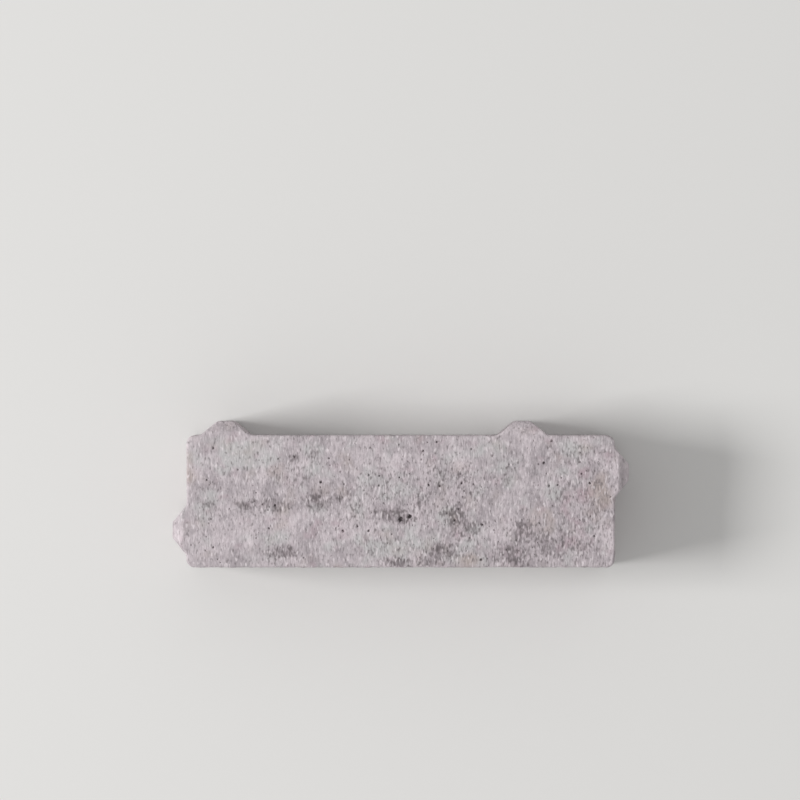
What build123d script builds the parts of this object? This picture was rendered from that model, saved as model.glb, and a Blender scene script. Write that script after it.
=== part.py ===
from build123d import *
from math import cos, isclose, radians, tan
import os

# A long concrete paving stone for a pavement that lets rain through its joints.
# It is pressed face up in a mould as one mass of concrete, with its spacer nibs on it.
# The origin is at the middle of the bed, under the plain body without the nibs.
# +X runs along the stone, +Y points to the long side with nibs, and +Z is up.
# All sizes are in millimetres.

# The laying grid is one stone and one joint, each way
laying_length = 300.0
laying_width = 100.0
joint_width = 10.0
stone_height = 80.0

# The body's upright corners are rounded, and a small arris runs all round the face
corner_radius = 6.0
arris_radius = 2.0

# A nib from above has a broad foot on the side, slanting flanks and a blunt tip
nib_foot_width = 34.0
nib_tip_width = 11.0
nib_root_radius = 4.0
nib_tip_radius = 3.0

# The nib stops just short of the neighbour that it spaces
nib_clearance = 0.5

# The nib's top leaves the face level, then slopes down under the joint filling
nib_level_reach = 2.5
nib_slope_degrees = 45.0

# Straight side left between a rounded corner and the foot of the nib nearest to it
left_nib_land = 3.5
right_nib_land = 39.5
end_nib_land = 2.5

# Sizes that follow from those above
body_length = laying_length - joint_width
body_width = laying_width - joint_width
nib_reach = joint_width - nib_clearance
slope_reach = nib_reach - nib_level_reach
slope_drop = slope_reach * tan(radians(nib_slope_degrees))

# Each nib stands on a side of the body and faces away from it.
# The two end nibs are half a turn apart, so they pass each other in a joint.
left_nib_x = corner_radius + left_nib_land + nib_foot_width / 2 - body_length / 2
right_nib_x = body_length / 2 - corner_radius - right_nib_land - nib_foot_width / 2
end_nib_y = body_width / 2 - corner_radius - end_nib_land - nib_foot_width / 2
nib_seats = [
    Location((left_nib_x, body_width / 2, 0), 0),
    Location((right_nib_x, body_width / 2, 0), 0),
    Location((body_length / 2, end_nib_y, 0), -90),
    Location((-body_length / 2, -end_nib_y, 0), 90),
]

# Outline of one nib facing +Y, with a heel inside the body as deep as the corners' rounding.
# The heel is wider than the foot, so that the hollow roots have a side to run out on.
heel_width = nib_foot_width + 2 * min(left_nib_land, right_nib_land, end_nib_land)
with BuildSketch() as nib_outline:
    with BuildLine():
        Polyline(
            (-heel_width / 2, -corner_radius),
            (-heel_width / 2, 0),
            (-nib_foot_width / 2, 0),
            (-nib_tip_width / 2, nib_reach),
            (nib_tip_width / 2, nib_reach),
            (nib_foot_width / 2, 0),
            (heel_width / 2, 0),
            (heel_width / 2, -corner_radius),
            close=True,
        )
    make_face()
    side_line = nib_outline.vertices().group_by(Axis.Y)[1]
    roots = side_line.sort_by(Axis.X)[1:-1]
    fillet(roots, radius=nib_root_radius)
    tips = nib_outline.vertices().group_by(Axis.Y)[-1]
    fillet(tips, radius=nib_tip_radius)

# The wedge that slopes a nib's top, as wide as the foot and long enough to run out past the tip
with BuildPart() as slope_wedge:
    with BuildSketch(Plane.YZ):
        with BuildLine():
            Polyline(
                (nib_level_reach, stone_height),
                (nib_level_reach + 2 * slope_reach, stone_height),
                (nib_level_reach + 2 * slope_reach, stone_height - 2 * slope_drop),
                close=True,
            )
        make_face()
    extrude(amount=nib_foot_width / 2, both=True)

# The stone is one plan pressed to its full height, with the nib tops sloped.
# The same small rounding then runs round the face and round each slope.
slope_normal_z = cos(radians(nib_slope_degrees))
with BuildPart() as paving_stone:
    with BuildSketch():
        RectangleRounded(body_length, body_width, corner_radius)
        with Locations(*nib_seats):
            add(nib_outline.sketch)
    extrude(amount=stone_height)
    with Locations(*nib_seats):
        add(slope_wedge.part, mode=Mode.SUBTRACT)
    face = paving_stone.faces().sort_by(Axis.Z)[-1]
    slopes = paving_stone.faces().filter_by(
        lambda side: isclose(side.normal_at().Z, slope_normal_z, abs_tol=1e-6)
    )
    fillet(face.edges() + slopes.edges(), radius=arris_radius)

paving_stone.part.label = "paving_stone"
os.makedirs("parts", exist_ok=True)
export_step(paving_stone.part, "parts/paving_stone.step")
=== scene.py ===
import math
import random

import bpy
import numpy as np
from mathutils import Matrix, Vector, noise
from mathutils.bvhtree import BVHTree
from mathutils.geometry import delaunay_2d_cdt
from mathutils.kdtree import KDTree


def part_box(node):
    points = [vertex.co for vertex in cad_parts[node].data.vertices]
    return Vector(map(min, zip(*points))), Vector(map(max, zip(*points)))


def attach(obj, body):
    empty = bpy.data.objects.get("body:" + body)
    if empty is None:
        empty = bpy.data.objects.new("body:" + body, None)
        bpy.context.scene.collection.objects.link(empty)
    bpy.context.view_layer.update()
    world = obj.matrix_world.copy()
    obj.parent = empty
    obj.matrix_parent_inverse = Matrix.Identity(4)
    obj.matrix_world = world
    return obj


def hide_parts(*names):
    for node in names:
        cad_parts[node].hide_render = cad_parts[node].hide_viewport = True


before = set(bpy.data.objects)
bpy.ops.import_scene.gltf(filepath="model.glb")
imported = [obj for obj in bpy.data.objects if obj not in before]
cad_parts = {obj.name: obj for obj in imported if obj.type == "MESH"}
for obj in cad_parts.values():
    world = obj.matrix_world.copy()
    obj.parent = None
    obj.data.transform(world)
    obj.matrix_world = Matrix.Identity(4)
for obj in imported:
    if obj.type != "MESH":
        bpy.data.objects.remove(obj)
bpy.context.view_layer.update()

# The paving stone: one mass of stiff, earth-damp concrete, rammed face up into a steel mould. The mould
# is drawn off it upwards, so nothing undercuts and the bed shows its full plan. Its outline and heights
# are read off the frame, and its skin is laid out anew in small facets, in millimetres.
MM = 0.001
BED_NORMAL = -0.99
cad_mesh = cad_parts["paving_stone"].data
cad_form = BVHTree.FromPolygons(
    [vertex.co for vertex in cad_mesh.vertices],
    [polygon.vertices for polygon in cad_mesh.polygons],
)
stone_low, stone_high = (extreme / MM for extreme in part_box("paving_stone"))
stone_height = stone_high.z


def bed_outline():
    """Corners of the plan, anticlockwise from above: the edges that only one facet of the bed has."""
    edges = set()
    for polygon in cad_mesh.polygons:
        if polygon.normal.z < BED_NORMAL:
            edges.update(zip(polygon.vertices, [*polygon.vertices[1:], polygon.vertices[0]]))
    following = {a: b for a, b in edges if (b, a) not in edges}
    chain = [min(following)]
    while following[chain[-1]] != chain[0]:
        chain.append(following[chain[-1]])
    return np.array([cad_mesh.vertices[k].co.xy / MM for k in reversed(chain)])


def even_loop(corners, spacing):
    """Points at about the given spacing all along a closed line."""
    closed = np.vstack([corners, corners[:1]])
    travelled = np.concatenate([[0], np.cumsum(np.linalg.norm(np.diff(closed, axis=0), axis=1))])
    count = round(travelled[-1] / spacing)
    at = np.arange(count) * travelled[-1] / count
    return np.column_stack([np.interp(at, travelled, closed[:, 0]), np.interp(at, travelled, closed[:, 1])])


def inward(loop):
    """Directions at a loop's points that face into the stone."""
    along = np.roll(loop, -1, axis=0) - np.roll(loop, 1, axis=0)
    across = np.column_stack([-along[:, 1], along[:, 0]])
    return across / np.linalg.norm(across, axis=1)[:, None]


RIM_SPACING = 1.2
rim = even_loop(bed_outline(), RIM_SPACING)
rim_inward = inward(rim)
columns = len(rim)
rim_edges = [(k, (k + 1) % columns) for k in range(columns)]

# Lines that follow the rim at these distances inside it, closest together where the arris is steepest
ARRIS_LINES = [0.09, 0.32, 0.66, 1.1, 1.6, 2.2]
arris_loops = [rim + rim_inward * reach for reach in ARRIS_LINES]
margin_tree = KDTree(columns)
for k, point in enumerate(arris_loops[-1]):
    margin_tree.insert((*point, 0), k)
margin_tree.balance()


def depth_inside(x, y):
    """How far a plan position lies inside the last of the arris lines."""
    nearest, k, _ = margin_tree.find((x, y, 0))
    return (x - nearest.x) * rim_inward[k][0] + (y - nearest.y) * rim_inward[k][1]


# Pores are left where the stiff mix didn't close round its sand: position and radius of those that
# catch the eye on the face, then many smaller ones scattered between them, the wider the fewer
LARGE_PORES = [
    (0.0, -12.1, 2.0), (6.0, -10.1, 1.7), (-53.8, 13.1, 1.25), (-29.2, -16.7, 1.1),
    (-38.7, -19.9, 1.2), (-21.4, 17.8, 0.95), (-126.5, 36.0, 1.05), (-109.8, 21.5, 0.75),
    (-84.7, -2.7, 1.05), (-126.4, -31.0, 0.9), (15.2, 34.0, 0.95), (100.2, 10.4, 1.05),
    (106.1, 11.1, 0.85), (96.7, 25.9, 1.15), (122.3, 18.7, 0.85), (127.7, 12.4, 1.05),
    (19.1, 11.1, 0.95), (26.5, 10.4, 1.0), (41.3, 12.4, 1.1), (54.9, -15.5, 1.0),
    (54.3, -39.4, 1.15), (-21.5, -19.8, 1.1), (36.6, -12.6, 1.05), (102.1, 40.8, 1.1),
    (-71.4, 30.0, 0.8), (39.3, -5.1, 0.85), (121.0, 26.6, 0.95), (24.5, 40.1, 0.85),
]
SMALL_PORES = 150
SMALLEST_PORE, PORE_RANGE = 0.42, 0.46
PORES_APART = 1.6
PORE_MARGIN = 1
chance = random.Random(11)
face_pores = list(LARGE_PORES)
while len(face_pores) < len(LARGE_PORES) + SMALL_PORES:
    x = chance.uniform(stone_low.x, stone_high.x)
    y = chance.uniform(stone_low.y, stone_high.y)
    radius = SMALLEST_PORE + PORE_RANGE * chance.random() ** 2
    apart = all(math.hypot(x - px, y - py) > PORES_APART * (radius + pr) for px, py, pr in face_pores)
    if apart and depth_inside(x, y) > PORE_MARGIN:
        face_pores.append((x, y, radius))
pore_tree = KDTree(len(face_pores))
for k, (x, y, radius) in enumerate(face_pores):
    pore_tree.insert((x, y, 0), k)
pore_tree.balance()

# The face is an even triangular net inside the arris lines, with rings of its own round each pore:
# for each ring, its share of the pore's radius and its number of points
FACE_SPACING = 0.82
PORE_RINGS = ((0, 1), (0.42, 6), (0.78, 9), (1.0, 12), (1.35, 12))
WIDEST_RING = PORE_RINGS[-1][0]
RING_CLEARANCE = 0.35 * FACE_SPACING
TRIANGLES_INSIDE = 1
NET_TOLERANCE = 1e-5


def net_points(spacing, margin, clear_pores):
    """Points of a triangular net that keeps clear of the arris lines and of the pores' rings."""
    points = []
    rise = spacing * math.sqrt(3) / 2
    for row, y in enumerate(np.arange(stone_low.y, stone_high.y, rise)):
        for x in np.arange(stone_low.x + (row % 2) * spacing / 2, stone_high.x, spacing):
            if depth_inside(x, y) < margin:
                continue
            if clear_pores:
                _, k, distance = pore_tree.find((x, y, 0))
                if distance < face_pores[k][2] * WIDEST_RING + RING_CLEARANCE:
                    continue
            points.append((x, y))
    return points


def triangulated(plan):
    """The points and triangles of a net that starts with the rim's points and ends at the rim."""
    points, _, triangles, *_ = delaunay_2d_cdt(
        [Vector(point) for point in plan], rim_edges, [], TRIANGLES_INSIDE, NET_TOLERANCE)
    return points, triangles


face_plan = [point for loop in [rim, *arris_loops] for point in loop]
face_plan += net_points(FACE_SPACING, margin=FACE_SPACING / 2, clear_pores=True)
for x, y, radius in face_pores:
    for reach, count in PORE_RINGS:
        for k in range(count):
            turn = 2 * math.pi * (k + reach) / count
            face_plan.append((x + radius * reach * math.cos(turn), y + radius * reach * math.sin(turn)))
face_points, face_triangles = triangulated(face_plan)

# Heights over the plan are felt from above. The rim's are felt a hair inside it, on the arris, and then
# brought down to the arris's foot, where the side starts.
FEELER_START = 200
RIM_NUDGE = 0.02
ARRIS_FOOT = 0.28
felt_plan = np.array([(point.x, point.y) for point in face_points])
felt_plan[:columns] += rim_inward * RIM_NUDGE
face_places = np.array([(*point, 0.0) for point in face_points])
for k, (x, y) in enumerate(felt_plan):
    felt = cad_form.ray_cast(Vector((x, y, FEELER_START)) * MM, Vector((0, 0, -1)))[0]
    face_places[k, 2] = felt.z / MM
face_places[:columns, 2] -= ARRIS_FOOT

# The sides hang from the rim in level rows, and the bed closes them with a coarser net
SIDE_ROWS = 54
BED_SPACING = 2.6
side_places = []
for row in range(1, SIDE_ROWS + 1):
    ring = face_places[:columns].copy()
    ring[:, 2] *= 1 - row / SIDE_ROWS
    side_places.append(ring)
bed_points, bed_triangles = triangulated([*rim, *net_points(BED_SPACING, margin=0, clear_pores=False)])
bed_places = np.array([(*point, 0.0) for point in bed_points[columns:]])
places = np.vstack([face_places, *side_places, bed_places])

face_count = len(face_places)
bed_first = face_count + (SIDE_ROWS - 1) * columns
facets = [tuple(triangle) for triangle in face_triangles]
for row in range(SIDE_ROWS):
    above = 0 if row == 0 else face_count + (row - 1) * columns
    below = face_count + row * columns
    facets += [(above + a, below + a, below + b, above + b) for a, b in rim_edges]
facets += [tuple(bed_first + k for k in reversed(triangle)) for triangle in bed_triangles]

stone_mesh = bpy.data.meshes.new("paving_stone")
stone_mesh.from_pydata((places * MM).tolist(), [], facets)
plain_normals = np.zeros(len(places) * 3)
stone_mesh.vertex_normals.foreach_get("vector", plain_normals)
plain_normals = plain_normals.reshape(-1, 3)

# The skin of the concrete: a face that the ram has closed and the rain has roughened, and sides and
# a bed that stay as the mould left them, dragged upwards and open in small crannies round the sand.
# All of it is cut into the plain form, never added to it: depths in millimetres.
NOISE_GAIN = 0.72


def ripple(place, depth, lengths, seed):
    """Smooth noise, drawn out by the gain so that it fills the range from nothing to the given depth."""
    at = Vector((place[0] / lengths[0], place[1] / lengths[1], place[2] / lengths[2] + seed))
    return depth * min(max(0.5 + NOISE_GAIN * noise.noise(at), 0.0), 1.0)


# Each ripple has its depth, the lengths along x, y and z from one rise to the next, and its seed
SWELL = (0.2, (26, 22, 26), 3.1)
GRAIN = (0.28, (1.8, 3.8, 1.8), 7.7)
COARSE_GRAIN = (0.4, (3.2, 5.2, 3.2), 1.9)
DRAG = (0.34, (3.4, 3.4, 30), 5.5)
SIDE_GRAIN = (0.3, (2.8, 2.8, 2.8), 9.4)
CRUMBLE = (0.6, (5, 5, 5), 15.2)
CRUMBLE_HEIGHT = 2.0

# Crannies open wherever one noise from 0 to 1 passes a level that another raises from place to place
CRANNY_DEPTH = 1.9
CRANNY_NOISE = (1, (3.6, 3.6, 3.2), 12.6)
CRANNY_LEVEL = 0.62
CRANNY_CLOSING = (0.2, (24, 24, 16), 21.3)
CRANNY_MARK = 1.4

# Holes: each has its middle, its radius and its depth as a share of that. Those on the sides gather low
# down, where the mix was rammed least, and the widest of them are few. Their outlines wander, but stay
# within WIDEST_HOLE of the middle, and only a hole of DARK_RADIUS or wider takes the full painted shade.
PORE_STEEPNESS, SIDE_STEEPNESS, BED_STEEPNESS = 1.15, 0.8, 0.5
SIDE_HOLES, SIDE_HOLE_RADII = 90, (1.3, 2.1)
BED_HOLES, BED_HOLE_RADII = 120, (2.0, 3.0)
CLEAR_OF_BED, CLEAR_OF_FACE = 1, 6
GATHERED_LOW = 1.4
SELDOM_WIDE = 5
WIDEST_HOLE = 4.0
OUTLINE_LEAST = 0.75
OUTLINE_SWING, OUTLINE_LENGTHS, OUTLINE_SEED = 0.5, (0.8, 0.8, 0.8), 1.7
BOWL_CURVE = 0.6
DARK_RADIUS = 1.5
holes = [(x, y, stone_height, radius, PORE_STEEPNESS) for x, y, radius in face_pores]
for _ in range(SIDE_HOLES):
    x, y = rim[chance.randrange(columns)]
    z = CLEAR_OF_BED + (stone_height - CLEAR_OF_FACE - CLEAR_OF_BED) * chance.random() ** GATHERED_LOW
    radius = chance.uniform(*SIDE_HOLE_RADII) + chance.random() ** SELDOM_WIDE
    holes.append((x, y, z, radius, SIDE_STEEPNESS))
for _ in range(BED_HOLES):
    x = chance.uniform(stone_low.x, stone_high.x)
    y = chance.uniform(stone_low.y, stone_high.y)
    holes.append((x, y, 0.0, chance.uniform(*BED_HOLE_RADII), BED_STEEPNESS))
hole_tree = KDTree(len(holes))
for k, (x, y, z, *_) in enumerate(holes):
    hole_tree.insert((x, y, z), k)
hole_tree.balance()

# Where the plain form's normals point up by the first of these shares or more, the skin is the face's,
# and by the second or less, the sides'. Only bends of more than SHARPEST_BEND degrees show as edges.
FACE_NORMAL, SIDE_NORMAL = 0.75, 0.25
SHARPEST_BEND = 78
upright = np.clip((FACE_NORMAL - plain_normals[:, 2]) / (FACE_NORMAL - SIDE_NORMAL), 0, 1)
depths = np.zeros(len(places))
pore_shade_and_dirt_marks = np.zeros(len(places))
cranny_marks = np.zeros(len(places))
for k, place in enumerate(places):
    face_part = 1 - upright[k]
    depth = ripple(place, *SWELL)
    depth += face_part * (ripple(place, *GRAIN) + ripple(place, *COARSE_GRAIN))
    if upright[k] > 0:
        opens_at = CRANNY_LEVEL + ripple(place, *CRANNY_CLOSING)
        open_part = max(ripple(place, *CRANNY_NOISE) - opens_at, 0) / (1 - opens_at)
        low_part = max(1 - place[2] / CRUMBLE_HEIGHT, 0)
        depth += upright[k] * (ripple(place, *DRAG) + ripple(place, *SIDE_GRAIN))
        depth += upright[k] * (CRANNY_DEPTH * open_part + low_part * ripple(place, *CRUMBLE))
        # This mark sets how deep the material sinks a cranny and how much painted shade it gets
        cranny_marks[k] = upright[k] * min(CRANNY_MARK * open_part, 1)
    for centre, hole, distance in hole_tree.find_range(place, WIDEST_HOLE):
        *_, z, radius, steepness = holes[hole]
        outline = radius
        if distance:
            towards = (place - np.array(centre)) / distance
            swing = ripple(towards, OUTLINE_SWING, OUTLINE_LENGTHS, hole * OUTLINE_SEED)
            outline = radius * (OUTLINE_LEAST + swing)
        if distance < outline:
            bowl = (1 - (distance / outline) ** 2) ** BOWL_CURVE
            depth += bowl * radius * steepness
            # A face pore's bowl sets its painted shade with dirt; any other hole's sets the crannies'
            # painted shade
            kind = pore_shade_and_dirt_marks if z == stone_height else cranny_marks
            kind[k] = max(kind[k], bowl * min(radius / DARK_RADIUS, 1))
    depths[k] = depth
relief = places - plain_normals * depths[:, None]
stone_mesh.vertices.foreach_set("co", (relief * MM).ravel())
stone_mesh.shade_smooth()
stone_mesh.set_sharp_from_angle(angle=math.radians(SHARPEST_BEND))

# Weather and use have marked the face: dirt has settled in the grain, lime has bloomed, and a few
# places are tanned or rosy. Each mark has its middle, half length, half width and strength.
STAINS = [
    (-105, -3, 6, 3.5, 0.8), (-99, -1.5, 4, 3, 0.8), (-91, -1.5, 4, 4, 0.75), (-84, -3.5, 4, 4, 0.85),
    (-77, -3.5, 8, 3, 0.5), (-58, 2, 7, 5, 0.88), (-56, -3, 7, 4, 0.75), (-41, 2.5, 11, 6, 0.5),
    (-72, 30, 2.5, 3.5, 0.8), (-59, 33, 5, 6, 0.5), (-80, 18, 10, 8, 0.3), (-68, 16, 7, 7, 0.5),
    (-4, -9, 11, 5, 0.85), (3, -11.5, 6, 4, 1.1), (-16, -7, 8, 6, 0.5), (36, -9, 8, 8, 0.95),
    (47, -17, 8, 6, 0.8), (38, -20, 6, 5, 0.55), (28, 17, 12, 8, 0.5), (42, 16, 6, 8, 0.55),
    (62, 16, 4, 4, 0.35), (-83, -35, 8, 5, 0.85), (-75, -34, 6, 5, 0.8), (28, -34, 13, 8, 0.82),
    (-2, -42, 10, 6, 0.9), (84, -20, 8, 9, 0.83), (75, -37, 14, 9, 0.85), (97, -28, 9, 10, 0.68),
    (102, -28, 28, 14, 0.47), (121, -31, 9, 9, 0.6), (128, -16, 8, 10, 0.45), (72, 20, 5, 8, 0.45),
    (112, 27, 7, 6, 0.4), (-126, -18, 12, 4, 0.2), (18, -41, 10, 5, 0.72), (-128, -3, 6, 5, 0.6),
    (-10, -32, 28, 10, 0.35), (-12, 10, 22, 14, 0.36), (110, 6, 11, 11, 0.45), (46, -32, 9, 10, 0.35),
    (128, 4, 16, 30, 0.35), (121, 32, 9, 7, 0.4), (-28, -5, 11, 9, 0.45), (15, 0, 9, 9, 0.56),
    (45, 6, 8, 7, 0.58),
]
BLOOMS = [
    (-106, 30, 26, 10, 1.0), (-58, 30, 9, 10, 0.9), (-130, -6, 8, 9, 0.8), (-88, -27, 14, 8, 1.0),
    (-5, -33, 33, 12, 1.0), (-12, 10, 19, 17, 0.7), (49, -30, 12, 13, 1.0), (52, 34, 17, 8, 0.8),
    (71, 20, 9, 10, 0.7), (104, 8, 8, 7, 0.6), (121, 32, 10, 7, 0.9), (-56, -4, 6, 4, 0.9),
    (34, -12, 10, 8, 0.8), (112, 20, 6, 8, 0.6),
]
TANS = [
    (133, 7, 8, 13, 1.0), (97, -12, 9, 7, 0.7), (46, -39, 8, 4, 0.7), (18, -42, 10, 3, 0.6),
    (-142, 22, 3, 10, 0.6),
]
ROSES = [
    (124, 18, 4, 9, 1.0), (124, 2, 7, 9, 0.9), (118, -26, 10, 8, 0.65), (-60, -18, 16, 10, 0.45),
    (112, -4, 8, 8, 0.5), (78, -37, 12, 8, 0.4),
]
MARK_FADE, MARK_SHOULDER = 0.75, 1.1


def marks(spots):
    """How strongly each point of the face lies in any of the given soft-edged spots."""
    total = np.zeros(len(places))
    for x, y, half_length, half_width, strength in spots:
        reach = ((places[:, 0] - x) / half_length) ** 2 + ((places[:, 1] - y) / half_width) ** 2
        total = np.maximum(total, strength * np.exp(-MARK_FADE * reach ** MARK_SHOULDER))
    return total * (1 - upright)


# Next to the face the ram has packed the sides closer, so they grow rough only lower down
PACKED_FROM, PACKED_TO = 2, 12
PACKED_ROUGHNESS = 0.4
below_face = (stone_height - PACKED_FROM - places[:, 2]) / (PACKED_TO - PACKED_FROM)
rough_sides = upright * np.clip(PACKED_ROUGHNESS + (1 - PACKED_ROUGHNESS) * below_face, 0, 1)
skin_marks = {
    "side": rough_sides,
    "hole": pore_shade_and_dirt_marks,
    "cranny": cranny_marks,
    "stain": marks(STAINS),
    "bloom": marks(BLOOMS),
    "tan": marks(TANS),
    "rose": marks(ROSES),
}
for name, values in skin_marks.items():
    stone_mesh.attributes.new(name, "FLOAT", "POINT").data.foreach_set("value", values)

# The map that a bake of the patterns is laid on: bands for the face, both halves of the sides, and the bed
MAP_EDGE = 0.006
FACE_BAND, BED_BAND = (0.665, 0.994), (0.006, 0.235)
SIDE_BANDS = ((0.455, 0.655), (0.245, 0.445))
half_way = (columns + 1) // 2
plan_size = stone_high - stone_low


def on_map(across, up, band):
    """A place on the map, from the shares of one of its bands that lie to the left of it and below it."""
    return MAP_EDGE + (1 - 2 * MAP_EDGE) * across, band[0] + (band[1] - band[0]) * up


unrolled = []
for x, y, _ in face_places[[k for triangle in face_triangles for k in triangle]]:
    unrolled.append(on_map((x - stone_low.x) / plan_size.x, (y - stone_low.y) / plan_size.y, FACE_BAND))
for row in range(SIDE_ROWS):
    for k in range(columns):
        band, start = SIDE_BANDS[k // half_way], k % half_way
        for step, level in ((0, row), (0, row + 1), (1, row + 1), (1, row)):
            unrolled.append(on_map((start + step) / half_way, 1 - level / SIDE_ROWS, band))
for x, y, _ in places[[bed_first + k for triangle in bed_triangles for k in reversed(triangle)]]:
    unrolled.append(on_map((stone_high.x - x) / plan_size.x, (y - stone_low.y) / plan_size.y, BED_BAND))
stone_mesh.uv_layers.new(name="OFBake").uv.foreach_set("vector", np.ravel(unrolled))

scene = bpy.context.scene
stone = bpy.data.objects.new("stone", stone_mesh)
scene.collection.objects.link(stone)

# Concrete, pressed in a steel mould and left as it came out: a dull, dusty paste that scatters light
# evenly, with sand that shows as fine light and dark points, pores and crannies painted dark as the shade
# in them, and greyer clouds of lime bloom. Roughness and IOR are those of dry cement paste.
ROUGHNESS, IOR = 0.93, 1.5
PASTE_DARK = "#978F93"
PASTE_LIGHT = "#DBD0D4"
BLOOM = "#C1BFBF"
ROSE = "#B6A3AA"
STAIN = "#8A7C82"
TAN = "#AE9F98"
SAND_LIGHT = "#DDD4D7"
SAND_DARK = "#6E6668"
SIDE_PASTE = "#B8AEB1"
# Painted shade, with the dirt that settles in them, for the pores of the face
PORE_SHADE_AND_DIRT = "#463E40"
# Painted shade for the crannies of the sides and the bed
CRANNY_SHADE = "#6E6568"


def linear(hex_colour):
    """A colour written as sRGB hex, as the linear values that Blender works in."""
    parts = [int(hex_colour[k:k + 2], 16) / 255 for k in (1, 3, 5)]
    return [*(part / 12.92 if part <= 0.04045 else ((part + 0.055) / 1.055) ** 2.4 for part in parts), 1]


def add(tree, kind, settings, inputs):
    """Adds a node, sets its properties, fills or links its inputs, and gives back its outputs."""
    node = tree.nodes.new(kind)
    for name, value in settings.items():
        setattr(node, name, value)
    for name, value in inputs.items():
        if isinstance(value, bpy.types.NodeSocket):
            tree.links.new(value, node.inputs[name])
        else:
            node.inputs[name].default_value = value
    return node.outputs


concrete = bpy.data.materials.new("concrete, pressed")
concrete.use_nodes = True
skin = concrete.node_tree
skin.nodes.clear()
coordinates = add(skin, "ShaderNodeTexCoord", {}, {})["Object"]
millimetres = add(skin, "ShaderNodeVectorMath", {"operation": "SCALE"},
                  {0: coordinates, "Scale": 1 / MM})[0]
mark_values = {
    name: add(skin, "ShaderNodeAttribute", {"attribute_name": name}, {})["Fac"]
    for name in skin_marks
}


def patches(length, octaves, seed, low, high, most=1, squeeze=(1, 1, 1), coarse=0.55, mark=None, lift=0,
            ramp="SMOOTHSTEP"):
    """Irregular patches, the given millimetres apart, that start at a low noise and are full at a high one.

    They are squeezed along x, y and z. A mark lifts the noise, so that the patches gather where it is."""
    placed = add(skin, "ShaderNodeVectorMath", {"operation": "MULTIPLY_ADD"},
                 {0: millimetres, 1: [part / length for part in squeeze], 2: [seed] * 3})[0]
    height = add(skin, "ShaderNodeTexNoise", {},
                 {"Vector": placed, "Scale": 1, "Detail": octaves, "Roughness": coarse})["Fac"]
    if mark:
        height = add(skin, "ShaderNodeMath", {"operation": "MULTIPLY_ADD"},
                     {0: mark_values[mark], 1: lift, 2: height})[0]
    return add(skin, "ShaderNodeMapRange", {"interpolation_type": ramp},
               {"Value": height, "From Min": low, "From Max": high, "To Max": most})["Result"]


# The marks of weather and use, 3 to 14 mm from patch to patch
bloom = patches(11, 1.5, 11, 0.54, 0.94, most=0.85, coarse=0.4, mark="bloom", lift=0.4)
rose = patches(9, 1.5, 21, 0.55, 0.95, most=0.9, coarse=0.4, mark="rose", lift=0.38)
tan = patches(14, 2, 35, 0.53, 0.95, most=0.6, coarse=0.4, mark="tan", lift=0.42)
stain = patches(4.5, 5, 31, 0.53, 0.93, most=0.5, squeeze=(1.1, 0.85, 1), coarse=0.72, mark="stain",
                lift=0.35)
dirty_clumps = patches(3.3, 1.5, 45, 0.62, 0.93, most=0.9, squeeze=(1.25, 0.78, 1), mark="stain", lift=0.29)

# Sand: its real grains are 0.2 to 1 mm wide. They are drawn about 1 mm wide and 2 mm apart, as fine as the
# picture can show, and longer across the stone than along it. Dirt darkens them most in the stains.
GRAIN_SQUEEZE = (1.45, 0.54, 1)
dark_sand = patches(2, 1, 41, 0.57, 0.79, most=0.66, squeeze=(1.4, 0.58, 1), mark="stain", lift=0.22)
light_sand = patches(2, 0.5, 51, 0.58, 0.75, most=0.68, squeeze=GRAIN_SQUEEZE)

# On the sides and the bed there are streaks of paste that the mould drew out upwards. The crannies
# there get painted shade, and the pores of the face painted shade with the dirt that settles in them
drawn_paste = patches(5, 3, 95, 0.7, 1.1, most=0.6, squeeze=(1, 1, 0.3), mark="side", lift=0.4)
# The crannies get painted shade; the coarser ones also sink the bump
cranny = patches(1.6, 2, 85, 0.72, 1.15, most=0.55, mark="cranny", lift=0.5)
fine_cranny_shade = patches(1.9, 2, 91, 0.97, 1.14, most=0.35, squeeze=(1, 1, 0.8), mark="side", lift=0.4)
# The face's pores: painted shade with dirt
shade = patches(1.5, 2, 81, 0.72, 0.98, most=0.9, mark="hole", lift=0.66)

# The paste itself is mottled over some 15 mm, and each layer covers part of what lies under it. A Mix
# node's colours have the same names as its numbers, so they go by their places.
FIRST, SECOND, MIXED = 6, 7, 2
mottle = patches(15, 4, 61, 0.27, 0.73, squeeze=(1.15, 0.85, 1), coarse=0.78, ramp="LINEAR")
colour = add(skin, "ShaderNodeMix", {"data_type": "RGBA"},
             {"Factor": mottle, FIRST: linear(PASTE_DARK), SECOND: linear(PASTE_LIGHT)})[MIXED]
# The last three layers paint shade: into the pores, with their dirt, and into the crannies
for cover, tone in (
    (bloom, BLOOM), (rose, ROSE), (stain, STAIN), (tan, TAN),
    (dirty_clumps, SAND_DARK), (dark_sand, SAND_DARK), (light_sand, SAND_LIGHT),
    (drawn_paste, SIDE_PASTE), (shade, PORE_SHADE_AND_DIRT), (cranny, CRANNY_SHADE), (fine_cranny_shade, CRANNY_SHADE),
):
    colour = add(skin, "ShaderNodeMix", {"data_type": "RGBA"},
                 {"Factor": cover, FIRST: colour, SECOND: linear(tone)})[MIXED]

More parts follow.
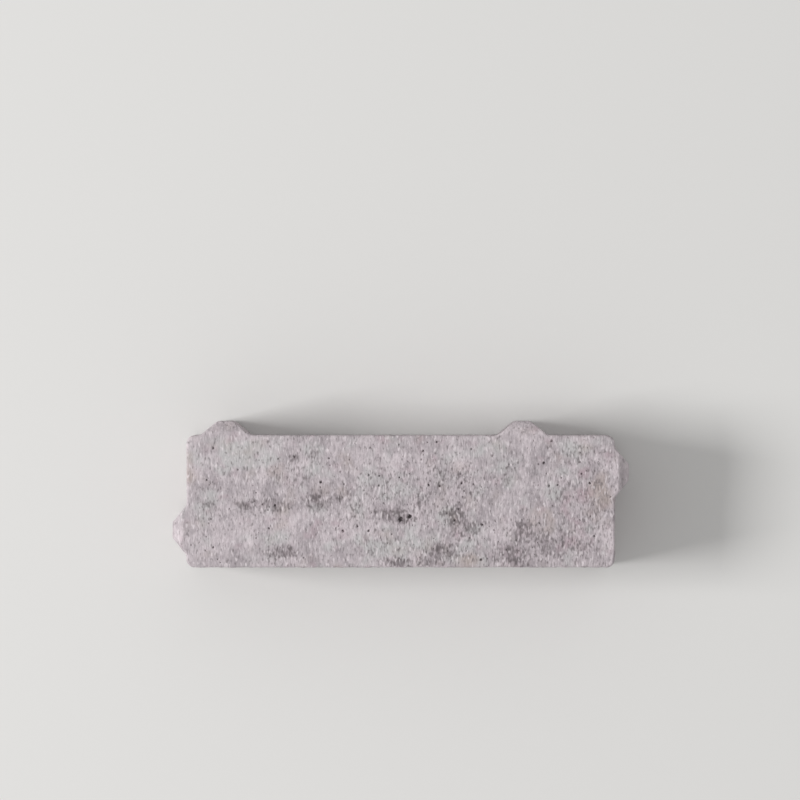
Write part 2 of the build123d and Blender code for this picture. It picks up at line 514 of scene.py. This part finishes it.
# The finest grain stands up by part of a millimetre, more so on the sides, and the crannies lie below it
RELIEF = 0.53
SIDE_RELIEF = 2.1
CRANNY_RELIEF = -2.0
grain = patches(2.1, 1.5, 71, 0, 1, squeeze=GRAIN_SQUEEZE, coarse=0.5, ramp="LINEAR")
side_grain = patches(2.6, 3, 97, 0.85, 1.35, squeeze=(1, 1, 0.8), coarse=0.65, mark="side", lift=0.6,
                     ramp="LINEAR")
height = add(skin, "ShaderNodeMath", {"operation": "MULTIPLY_ADD"},
             {0: side_grain, 1: SIDE_RELIEF, 2: grain})[0]
height = add(skin, "ShaderNodeMath", {"operation": "MULTIPLY_ADD"},
             {0: cranny, 1: CRANNY_RELIEF, 2: height})[0]
bump = add(skin, "ShaderNodeBump", {}, {"Height": height, "Distance": RELIEF * MM, "Strength": 1})[0]
shader = add(skin, "ShaderNodeBsdfPrincipled", {},
             {"Base Color": colour, "Roughness": ROUGHNESS, "IOR": IOR, "Normal": bump})[0]
add(skin, "ShaderNodeOutputMaterial", {}, {"Surface": shader})
stone_mesh.materials.append(concrete)

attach(stone, "root")
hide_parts("paving_stone")

# The floor: one sheet of pale, matt paper with no shine at all, laid flat under the stone's bed, and
# wide enough to fill every view. Its half width is in metres.
FLOOR_HALF = 8
FLOOR = "#E4E3E1"
floor_mesh = bpy.data.meshes.new("floor")
floor_corners = [(x * FLOOR_HALF, y * FLOOR_HALF, 0) for x, y in ((-1, -1), (1, -1), (1, 1), (-1, 1))]
floor_mesh.from_pydata(floor_corners, [], [(0, 1, 2, 3)])
floor = bpy.data.objects.new("floor", floor_mesh)
scene.collection.objects.link(floor)
paper = bpy.data.materials.new("paper, matt")
paper.use_nodes = True
paper.node_tree.nodes.clear()
sheet = add(paper.node_tree, "ShaderNodeBsdfDiffuse", {}, {"Color": linear(FLOOR)})[0]
add(paper.node_tree, "ShaderNodeOutputMaterial", {}, {"Surface": sheet})
floor_mesh.materials.append(paper)

# The lamp: a large square soft box, hung on the left in line with the stone. It is wide enough to
# soften the shadows, and low enough for the grain to show. Sizes are in metres, its power in watts.
LAMP_AZIMUTH = math.radians(182)
LAMP_HEIGHT = math.radians(38)
LAMP_DISTANCE = 6.0
LAMP_SIZE = 2.1
LAMP_POWER = 255
scene.view_settings.view_transform = "Standard"
lamp = bpy.data.lights.new("window lamp", "AREA")
lamp.shape = "SQUARE"
lamp.size = LAMP_SIZE
lamp.energy = LAMP_POWER
lamp_object = bpy.data.objects.new("window lamp", lamp)
lamp_object.location = LAMP_DISTANCE * Vector((
    math.cos(LAMP_HEIGHT) * math.cos(LAMP_AZIMUTH),
    math.cos(LAMP_HEIGHT) * math.sin(LAMP_AZIMUTH),
    math.sin(LAMP_HEIGHT),
))
lamp_object.rotation_euler = lamp_object.location.to_track_quat("Z", "Y").to_euler()
lamp_object.visible_camera = False
scene.collection.objects.link(lamp_object)

# The room: pale walls far off that give an even light from all sides. The camera sees them as a plain
# pale tone, brighter than the light that they give to the stone.
ROOM_LIGHT = 0.5
ROOM_WHITE = "#FFFFFF"
ROOM_SEEN = "#EFEEEC"
world = bpy.data.worlds.new("pale room")
world.use_nodes = True
air = world.node_tree
air.nodes.clear()
seen = add(air, "ShaderNodeLightPath", {}, {})["Is Camera Ray"]
room = add(air, "ShaderNodeBackground", {}, {"Color": linear(ROOM_WHITE), "Strength": ROOM_LIGHT})[0]
backdrop = add(air, "ShaderNodeBackground", {}, {"Color": linear(ROOM_SEEN), "Strength": 1})[0]
both = add(air, "ShaderNodeMixShader", {}, {0: seen, 1: room, 2: backdrop})[0]
add(air, "ShaderNodeOutputWorld", {}, {"Surface": both})
scene.world = world

# The camera: held level, 5 m over the face, and looking straight down with a long lens. The stone is
# as large, and lies as far from the middle, as in the picture.
PICTURE_PIXELS = 800
PIXELS_PER_MM = 1.4817
STONE_PIXEL_X, STONE_PIXEL_Y = 400.75, 501.4
SENSOR_MM = 36
CAMERA_RISE = 5
CAMERA_SIGHT = 50
camera = bpy.data.cameras.new("camera")
camera.sensor_width = SENSOR_MM
camera.lens = SENSOR_MM * CAMERA_RISE / (PICTURE_PIXELS / PIXELS_PER_MM * MM)
camera.clip_end = CAMERA_SIGHT
camera_object = bpy.data.objects.new("camera", camera)
camera_object.location = (
    (PICTURE_PIXELS / 2 - STONE_PIXEL_X) / PIXELS_PER_MM * MM,
    (STONE_PIXEL_Y - PICTURE_PIXELS / 2) / PIXELS_PER_MM * MM,
    stone_height * MM + CAMERA_RISE,
)
scene.collection.objects.link(camera_object)
scene.camera = camera_object
